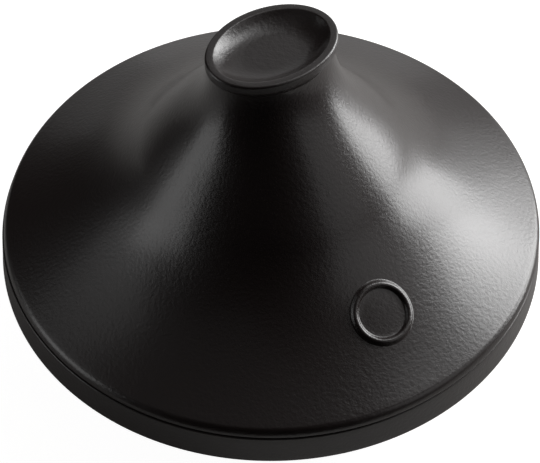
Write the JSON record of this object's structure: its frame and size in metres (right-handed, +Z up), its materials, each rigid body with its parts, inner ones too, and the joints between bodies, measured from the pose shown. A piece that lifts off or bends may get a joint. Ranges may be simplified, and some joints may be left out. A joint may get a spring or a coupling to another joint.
{
  "type": "tagine",
  "caption": "Round ceramic tagine: a shallow dish on a foot ring under a tall bell-shaped lid with an oval hollowed knob, for slow cooking on a hob or in an oven.",
  "frame": {"origin": "centre of the foot ring's flat on the table, on the axis of the dish", "axes": "+Z up along the axis of the dish; -Y towards the picture's camera; +X to its right. The lid's axis lies 0.5 mm towards +X, inside the play of its lip. The knob's long axis lies 33.5 degrees from +X towards +Y and the medallion faces 56.5 degrees from +X towards -Y."},
  "size_m": [0.332, 0.332, 0.2405],
  "materials": {
    "black_glaze": "satin black glaze with a fine orange-peel texture"
  },
  "bodies": {
    "root": {"dish": "black_glaze", "lid": "black_glaze"}
  },
  "joints": []
}
